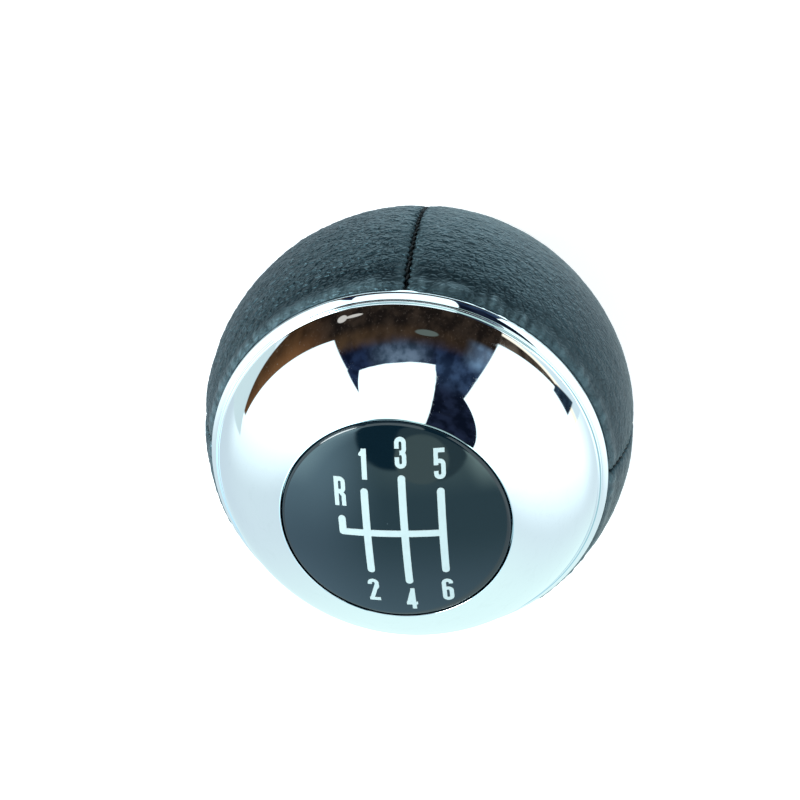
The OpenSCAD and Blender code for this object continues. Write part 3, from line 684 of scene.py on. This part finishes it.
def chrome_dome(material):
    foot, rim = np.array((RING_R - 0.98, LIP_TOP_Z)), np.array((SEAT_R, RIM_Z))
    step = rim - foot
    chord = np.linalg.norm(step)
    centre = (foot + rim) / 2 + math.sqrt(BULGE_R ** 2 - chord ** 2 / 4) * np.array(
        (-step[1], step[0])) / chord
    hollow_r = 0.2
    hollow = (centre[0] + math.sqrt((BULGE_R + hollow_r) ** 2
                                    - (LIP_TOP_Z + hollow_r - centre[1]) ** 2), LIP_TOP_Z + hollow_r)
    blend = angle_of(centre, hollow)
    top_edge = 0.06
    lip_r = RING_TOP_R - 0.002
    lip_edge = 0.15
    rim_centre = (centre[0] + (BULGE_R - top_edge) * math.cos(math.acos(
        (SEAT_R + top_edge - centre[0]) / (BULGE_R - top_edge))), 0)
    rim_angle = math.degrees(math.acos((SEAT_R + top_edge - centre[0]) / (BULGE_R - top_edge)))
    rim_centre = (SEAT_R + top_edge,
                  centre[1] + (BULGE_R - top_edge) * math.sin(math.radians(rim_angle)))
    inner = BULGE_R - 1.6
    cavity_z = SEAT_Z - 1.6
    in_top = (centre[0] + math.sqrt(inner ** 2 - (cavity_z - centre[1]) ** 2), cavity_z)
    in_side = (SKIRT_IN_R, centre[1] + math.sqrt(inner ** 2 - (SKIRT_IN_R - centre[0]) ** 2))
    outline = [(0, cavity_z)]
    outline += arc(centre, inner, angle_of(centre, in_top), angle_of(centre, in_side), 10)
    outline += [(SKIRT_IN_R, RING_Z), (SKIRT_R, RING_Z), (SKIRT_R, RING_TOP_Z + 0.002),
                (lip_r, RING_TOP_Z + 0.002)]
    outline += arc((lip_r - lip_edge, LIP_TOP_Z - lip_edge), lip_edge, 0, 90, 9)
    outline += arc(hollow, hollow_r, -90, blend - 180, 10)
    outline += arc(centre, BULGE_R, blend, rim_angle, 90)[1:]
    outline += arc(rim_centre, top_edge, rim_angle, 180, 8)[1:]
    outline += [(SEAT_R, SEAT_Z), (0, SEAT_Z)]
    finger = [(SKIRT_IN_R, SKIRT_Z), (SKIRT_R + 0.7, SKIRT_Z), (SKIRT_R + 0.7, SKIRT_Z + 1.2),
              (SKIRT_R, SKIRT_Z + 1.2), (SKIRT_R, RING_Z + 0.05), (SKIRT_IN_R, RING_Z + 0.05)]
    plain = [(SKIRT_IN_R, SKIRT_Z), (SKIRT_R, SKIRT_Z), (SKIRT_R, RING_Z + 0.05),
             (SKIRT_IN_R, RING_Z + 0.05)]
    blocks = []
    for k in range(4):
        base = k * math.pi / 2
        blocks.append(sector(finger, lambda r: base - math.asin(HOOK_W / 2 / r),
                             lambda r: base + math.asin(HOOK_W / 2 / r), 12))
        reach = HOOK_W / 2 + SLOT_W
        blocks.append(sector(plain, lambda r: base + math.asin(reach / r),
                             lambda r: base + math.pi / 2 - math.asin(reach / r), 30))
    lathe("chrome_dome_polished", outline, material, "chrome_dome", 480, blocks)


def badge_disc(material):
    face_z = RIM_Z - math.sqrt(BADGE_FACE_R ** 2 - BADGE_R ** 2)
    edge_r = BADGE_R - BADGE_EDGE_R
    edge_z = face_z + math.sqrt((BADGE_FACE_R - BADGE_EDGE_R) ** 2 - edge_r ** 2)
    tangent = angle_of((0, face_z), (edge_r, edge_z))
    outline = [(0, RIM_Z - 1.5), (BADGE_R, RIM_Z - 1.5)]
    outline += arc((edge_r, edge_z), BADGE_EDGE_R, 0, tangent, 14)
    outline += arc((0, face_z), BADGE_FACE_R, tangent, 90, 40)[1:-1]
    outline += [(0, face_z + BADGE_FACE_R)]
    lathe("badge_disc_gloss", outline, material, "badge_disc", 360)


leather = leather_material()
leather_panel("leather_front_right", SEAMS["right"], SEAMS["front"], 1, leather)
leather_panel("leather_front_left", SEAMS["front"], SEAMS["left"], 2, leather)
leather_panel("leather_rear_left", SEAMS["left"], SEAMS["rear"], 3, leather)
leather_panel("leather_rear_right", SEAMS["rear"], SEAMS["right"] + 360, 4, leather)

thread = thread_material()
for place, angle in SEAMS.items():
    seam_thread("seam_thread_" + place, angle, int(angle) + 5, thread)

looks = {
    "badge_disc": badge_material(),
    "gate_print": ink_material(),
    "badge_adhesive": tape_material(),
    "chrome_dome": chrome_material("dome_chrome_polish", (0.86, 0.885, 0.90), 0.05),
    "trim_ring": chrome_material("ring_chrome_polish", (0.87, 0.89, 0.90), 0.03),
    "core_body": moulded_material("core_plastic_moulded", (0.030, 0.031, 0.034),
                                  (0.052, 0.054, 0.058), 0.55),
    "weight_ring": steel_material("weight_steel_turned", (0.40, 0.41, 0.42), (0.52, 0.53, 0.54), 0.34),
    "push_nut": steel_material("spring_steel_bright", (0.52, 0.53, 0.54), (0.64, 0.65, 0.66), 0.26,
                               False),
    "lever_sleeve": moulded_material("sleeve_plastic_natural", (0.62, 0.61, 0.55),
                                     (0.74, 0.73, 0.67), 0.45),
    "end_buffer": moulded_material("pad_rubber_black", (0.012, 0.012, 0.012),
                                   (0.022, 0.022, 0.022), 0.72, 1800.0, 0.03),
    "base_collar": moulded_material("collar_plastic_satin", (0.010, 0.012, 0.014),
                                    (0.017, 0.020, 0.023), 0.42, 3200.0, 0.02),
    "collar_screws": steel_material("screw_steel_plated", (0.40, 0.41, 0.42), (0.50, 0.51, 0.52), 0.3,
                                    False),
}
looks["retaining_clip"] = looks["push_nut"]
trim_ring(looks["trim_ring"])
chrome_dome(looks["chrome_dome"])
badge_disc(looks["badge_disc"])
for name, look in looks.items():
    mesh = nodes[name].data
    if not mesh.materials:
        mesh.materials.append(look)
    for i in range(len(mesh.materials)):
        mesh.materials[i] = look


# ---------------------------------------------------------------- surroundings

def surroundings():
    """A pale room for reflections and soft light, plain white where the camera looks at it. On the +Y
    side stand a dark wooden bench, a dark column and bright windows, as simple shapes in longitude
    (from +Y towards +X) and latitude, both in degrees."""
    world = bpy.data.worlds.new("room")
    bpy.context.scene.world = world
    world.use_nodes = True
    s = Shader.__new__(Shader)
    s.tree = world.node_tree
    for node in list(s.tree.nodes):
        s.tree.nodes.remove(node)
    at = s.add("ShaderNodeTexCoord").outputs["Generated"]
    xyz = s.add("ShaderNodeSeparateXYZ")
    s.link(at, xyz.inputs[0])
    x, y, z = xyz.outputs
    degrees = 180 / math.pi
    lon = s.math("MULTIPLY", s.math("ARCTAN2", x, y), degrees)
    lat = s.math("MULTIPLY", s.math("ARCSINE", z), degrees)
    wave = s.noise(at, 5.0, 2.0)
    lon_w = s.math("ADD", lon, s.ramp(wave, 0.2, 0.8, -0.7, 0.7, False))
    lat_w = s.math("ADD", lat, s.ramp(s.noise(at, 4.0, 2.0), 0.2, 0.8, -1.0, 1.0, False))

    def past(value, edge, soft=0.8):
        """1 where value is more than edge; the edge may be a number or a socket."""
        over = s.math("SUBTRACT", value, edge)
        return s.ramp(over, -soft / 2, soft / 2)

    def both(*masks):
        made = masks[0]
        for mask in masks[1:]:
            made = s.math("MULTIPLY", made, mask)
        return made

    def less(value, edge, soft=0.8):
        return s.math("SUBTRACT", 1.0, past(value, edge, soft))

    def line(p, q):
        """Latitude of the straight line through p and q at each longitude."""
        slope = (q[1] - p[1]) / (q[0] - p[0])
        return s.math("ADD", s.math("MULTIPLY", lon, slope), p[1] - slope * p[0])

    def oval(place, size, soft=0.25):
        a = s.math("DIVIDE", s.math("SUBTRACT", lon, place[0]), size[0])
        b = s.math("DIVIDE", s.math("SUBTRACT", lat, place[1]), size[1])
        r = s.math("ADD", s.math("MULTIPLY", a, a), s.math("MULTIPLY", b, b))
        return s.ramp(r, 1 - soft, 1 + soft, 1.0, 0.0)

    # Pale walls all round, bright windows towards +Y
    off_axis = s.math("ABSOLUTE", s.math("SUBTRACT", lon, 10.0))
    behind = s.math("SUBTRACT", 180.0, s.math("ABSOLUTE", lon))
    low = s.ramp(lat, -55.0, 0.0)
    flank = s.mix(low, (0.60, 0.74, 0.83), (0.70, 0.86, 0.93))
    flank = s.mix(s.ramp(lon, 0.0, 60.0), flank, (0.74, 0.90, 0.97))
    pale = s.mix(s.ramp(behind, 12.0, 52.0), (0.83, 1.08, 1.08), flank)
    bright = s.math("MULTIPLY", s.ramp(off_axis, 96.0, 128.0, 1.0, 0.0), s.ramp(lat, -32.0, -14.0))
    paper = s.math("MULTIPLY", s.ramp(off_axis, 50.0, 84.0, 1.0, 0.0), s.ramp(lat, -52.0, -38.0, 1.0, 0.0))
    pale = s.mix(paper, pale, (1.45, 2.00, 2.20))
    colour = s.mix(bright, pale, (1.25, 1.52, 1.60))

    def disc_above(place, near_r, far_r):
        spot = s.add("ShaderNodeVectorMath", operation="DISTANCE")
        s.link(s.mapped(at, (1, 1, 0)), spot.inputs[0])
        spot.inputs[1].default_value = (*place, 0.0)
        return both(s.ramp(spot.outputs["Value"], near_r, far_r, 1.0, 0.0), past(z, 0.0, 0.1))

    # Ceiling over the badge: a window to the left, dim to the right
    ceiling = s.mix(s.ramp(y, -0.70, -0.12), (0.72, 1.12, 1.40), (1.55, 2.50, 3.00))
    ceiling = s.mix(s.ramp(x, -0.56, -0.16), ceiling, (0.38, 0.64, 0.71))
    ceiling = s.mix(s.ramp(y, -0.90, -0.55, 0.55, 0.0), ceiling, (0.80, 1.25, 1.55))
    middle = both(s.ramp(y, -0.38, -0.14), s.ramp(x, -0.40, -0.10))
    ceiling = s.mix(s.math("MULTIPLY", middle, 0.75), ceiling, (0.80, 1.22, 1.20))
    shine = s.mix(s.ramp(x, -0.2, 0.2), (2.50, 3.90, 4.40), (2.00, 2.90, 2.80))
    inner = disc_above((-0.12, -0.35), 0.410, 0.530)
    outer = both(s.math("SUBTRACT", 1.0, inner), s.ramp(y, -0.36, -0.14),
                 s.ramp(s.math("ABSOLUTE", x), 0.20, 0.36))
    ceiling = s.mix(outer, ceiling, shine)
    colour = s.mix(disc_above((-0.12, -0.35), 0.600, 0.618), colour, ceiling)

    mottle = s.noise(s.mapped(at, (2.4, 2.4, 1)), 4.2, 4.0, 0.52)
    patch = s.ramp(mottle, 0.36, 0.66)
    streak = s.ramp(s.noise(s.mapped(at, (3.2, 3.2, 1)), 2.4, 3.0, 0.5), 0.36, 0.70)
    brown = s.mix(patch, (0.0105, 0.0080, 0.0070), (0.034, 0.024, 0.018))
    pit = s.noise(s.mapped(at, (2.4, 2.4, 1)), 26.0, 3.0, 0.6)
    brown = s.mix(s.ramp(pit, 0.60, 0.72, 0.0, 0.8), brown, (0.105, 0.085, 0.070))
    tan = s.mix(s.ramp(lat, -19.0, -4.0), (0.038, 0.020, 0.010), (0.170, 0.080, 0.034))
    navy = s.mix(patch, (0.0035, 0.0065, 0.020), (0.016, 0.030, 0.075))
    slate = s.mix(patch, (0.045, 0.080, 0.125), (0.150, 0.215, 0.300))

    # Bench top that runs off to both sides below the horizon
    left_arm = both(past(lon, -92.0, 1.5), less(lon, -30.0),
                    less(lat, line((-36, 0.9), (-86, -9.4))),
                    past(lat, line((-92, -13.6), (-70.4, -22.3)), 1.2))
    wedge = both(past(lon, -100.0, 1.5), less(lon, -68.0), less(lat, line((-98, -11.0), (-70.4, -22.3))))
    colour = s.mix(s.math("MULTIPLY", wedge, s.ramp(lat, -52.0, -38.0)), colour, (0.66, 0.84, 0.88))
    under = both(past(lon, 40.0), less(lon, 96.0), less(lat, -17.0), past(lat, -20.3, 1.5))
    colour = s.mix(under, colour, (1.25, 1.17, 0.98))
    strip = both(past(lon, 40.0), less(lon, 96.0), less(lat, -20.3, 1.5), past(lat, -34.0, 6.0))
    colour = s.mix(strip, colour, (0.72, 0.90, 0.98))
    right_arm = both(past(lon, 38.0), less(lon, 80.0), less(lat, line((43.3, -9.4), (76.6, -16.2))),
                     past(lat, -18.1, 1.0))
    colour = s.mix(right_arm, colour, s.mix(streak, brown, (0.125, 0.100, 0.075)))
    lump = both(past(lon, 76.5, 1.0), less(lon, 89.5, 1.0), less(lat, -13.0, 1.5),
                past(lat, line((77, -18.8), (89, -23.5)), 1.2))
    colour = s.mix(lump, colour, s.mix(patch, (0.010, 0.020, 0.036), (0.030, 0.060, 0.095)))

    # Dark block with the column and the narrow post on it
    leans = s.math("ADD", s.math("MULTIPLY", lat, 0.1), -36.0)
    block = both(past(lon, leans, 0.8), less(lon, s.math("SUBTRACT", 42.4, s.math("MULTIPLY", lat, 0.05))),
                 less(lat_w, s.ramp(lon, -20.0, 18.0, 31.0, 28.0)), past(lat, -28.0, 2.0))
    cloud = both(s.ramp(lat, 7.0, 26.0), s.ramp(lon, -23.0, -8.0), s.ramp(lon, 2.0, 18.0, 1.0, 0.0))
    fill = s.mix(s.ramp(lat, 4.0, 20.0), brown, navy)
    fill = s.mix(cloud, fill, slate)
    end = both(s.ramp(lat, -4.0, 3.0), s.ramp(lat, 16.0, 27.0, 1.0, 0.0), s.ramp(lon, 27.0, 39.0))
    fill = s.mix(end, fill, s.mix(patch, (0.080, 0.140, 0.230), (0.170, 0.290, 0.440)))
    warm = both(s.ramp(lat, 17.0, 9.0), s.ramp(lat, -6.0, 5.0), s.ramp(lon, -34.0, 20.0, 1.0, 0.35))
    warm = s.math("MULTIPLY", warm, s.math("ADD", 0.35, s.math("MULTIPLY", streak, 0.45)))
    fill = s.mix(warm, fill, (0.085, 0.050, 0.026))
    arm = s.mix(s.math("MULTIPLY", streak, 0.22), tan, (0.24, 0.125, 0.055))
    arm = s.mix(s.ramp(pit, 0.62, 0.74, 0.0, 0.5), arm, (0.30, 0.25, 0.20))
    arm = s.mix(s.ramp(lon, -60.0, -35.0), arm, fill)
    colour = s.mix(left_arm, colour, arm)
    colour = s.mix(block, colour, fill)
    post = both(past(lon, -33.6, 0.8), less(lat, line((-33.2, 46.0), (-26.5, 30.0)), 1.5),
                past(lat, 28.0), less(lon, -26.0))
    colour = s.mix(post, colour, navy)
    left_side = s.math("ADD", s.math("MULTIPLY", lat, 0.17), 12.4)
    flare = s.ramp(lat, 44.0, 68.0, 41.0, 92.0, False)
    column = both(past(lon_w, left_side), less(lon, s.math("MAXIMUM", 40.6, flare)),
                  s.ramp(lat, 14.0, 27.0), less(lat, 86.0))
    tall = s.mix(s.ramp(lat, 32.0, 48.0), s.mix(patch, (0.012, 0.024, 0.055), (0.040, 0.075, 0.150)),
                 s.mix(patch, (0.0035, 0.0060, 0.0150), (0.0130, 0.0200, 0.0450)))
    colour = s.mix(column, colour, tall)

    # Small lights on the block, and the lens above
    colour = s.mix(oval((9.0, 3.5), (5.6, 2.6)), colour, (0.11, 0.14, 0.13))
    colour = s.mix(oval((-32.0, -15.0), (2.3, 3.2)), colour, (0.62, 0.60, 0.56))
    colour = s.mix(oval((-26.5, -15.0), (4.2, 1.4)), colour, (0.62, 0.60, 0.56))
    colour = s.mix(disc_above((-0.14, 0.03), 0.185, 0.215), colour, (0.012, 0.025, 0.040))
    colour = s.mix(disc_above((0.10, -0.03), 0.200, 0.225), colour, (0.30, 0.44, 0.44))
    colour = s.mix(disc_above((0.04, -0.10), 0.150, 0.165), colour, (0.76, 1.06, 0.98))

    room = s.add("ShaderNodeBackground")
    s.link(colour, room.inputs["Color"])
    soft = s.add("ShaderNodeBackground")
    s.link(colour, soft.inputs["Color"])
    soft.inputs["Strength"].default_value = 0.62
    seen = s.add("ShaderNodeBackground")
    seen.inputs["Color"].default_value = (1, 1, 1, 1)
    seen.inputs["Strength"].default_value = 1.0
    path = s.add("ShaderNodeLightPath")
    dull = s.add("ShaderNodeMixShader")
    s.link(path.outputs["Is Diffuse Ray"], dull.inputs[0])
    s.link(room.outputs[0], dull.inputs[1])
    s.link(soft.outputs[0], dull.inputs[2])
    swap = s.add("ShaderNodeMixShader")
    s.link(path.outputs["Is Camera Ray"], swap.inputs[0])
    s.link(dull.outputs[0], swap.inputs[1])
    s.link(seen.outputs[0], swap.inputs[2])
    out = s.add("ShaderNodeOutputWorld")
    s.link(swap.outputs[0], out.inputs["Surface"])


def white_floor():
    """A large matte floor that takes the knob's shadow and reads as white paper to the camera."""
    mesh = bpy.data.meshes.new("floor")
    half = 3.0
    mesh.from_pydata([(-half, -half, 0), (half, -half, 0), (half, half, 0), (-half, half, 0)], [],
                     [(0, 1, 2, 3)])
    floor = bpy.data.objects.new("floor", mesh)
    bpy.context.scene.collection.objects.link(floor)
    floor.location.z = -0.00002
    s = Shader("floor_paper")
    s.set(color=(0.80, 0.79, 0.80), roughness=0.9, specular=0.1)
    glow = s.add("ShaderNodeEmission")
    glow.inputs["Color"].default_value = (1, 1, 1, 1)
    path = s.add("ShaderNodeLightPath")
    s.put(glow, "Strength", s.math("MULTIPLY", path.outputs["Is Camera Ray"], 0.74))
    both = s.add("ShaderNodeAddShader")
    s.link(s.surface.outputs[0], both.inputs[0])
    s.link(glow.outputs[0], both.inputs[1])
    s.link(both.outputs[0], s.tree.nodes["Material Output"].inputs["Surface"])
    mesh.materials.append(s.mat)
    floor.visible_glossy = False


def lamp(name, place, size, power, colour=(1, 1, 1)):
    data = bpy.data.lights.new(name, "AREA")
    data.shape = "DISK"
    data.size = size
    data.energy = power
    data.color = colour
    obj = bpy.data.objects.new(name, data)
    bpy.context.scene.collection.objects.link(obj)
    obj.location = place
    aim = Vector((0, 0, CENTRE_H * MM)) - Vector(place)
    obj.rotation_mode = "QUATERNION"
    obj.rotation_quaternion = aim.to_track_quat("-Z", "Y")


def photo_camera():
    """The photograph's own view: from the +Y side and above, 200 mm from the ball, the image's up
    along the knob's +Y."""
    right = Vector((0.98978, -0.06786, -0.12610)).normalized()
    back = Vector((0.14318, 0.49196, 0.85880)).normalized()
    up = back.cross(right).normalized()
    right = up.cross(back)
    place = Vector((0.026366, 0.100520, 0.170915 + CENTRE_H * MM))
    data = bpy.data.cameras.new("camera")
    data.sensor_width = 36.0
    data.lens = 76.005
    data.clip_start = 0.01
    data.clip_end = 20.0
    cam = bpy.data.objects.new("camera", data)
    bpy.context.scene.collection.objects.link(cam)
    cam.matrix_world = Matrix((
        (right.x, up.x, back.x, place.x),
        (right.y, up.y, back.y, place.y),
        (right.z, up.z, back.z, place.z),
        (0, 0, 0, 1)))
    bpy.context.scene.camera = cam


surroundings()
white_floor()
lamp("window", (-0.52, 0.30, 0.68), 0.36, 5.0, (0.86, 0.98, 1.0))
photo_camera()
bpy.context.scene.view_settings.view_transform = "Standard"
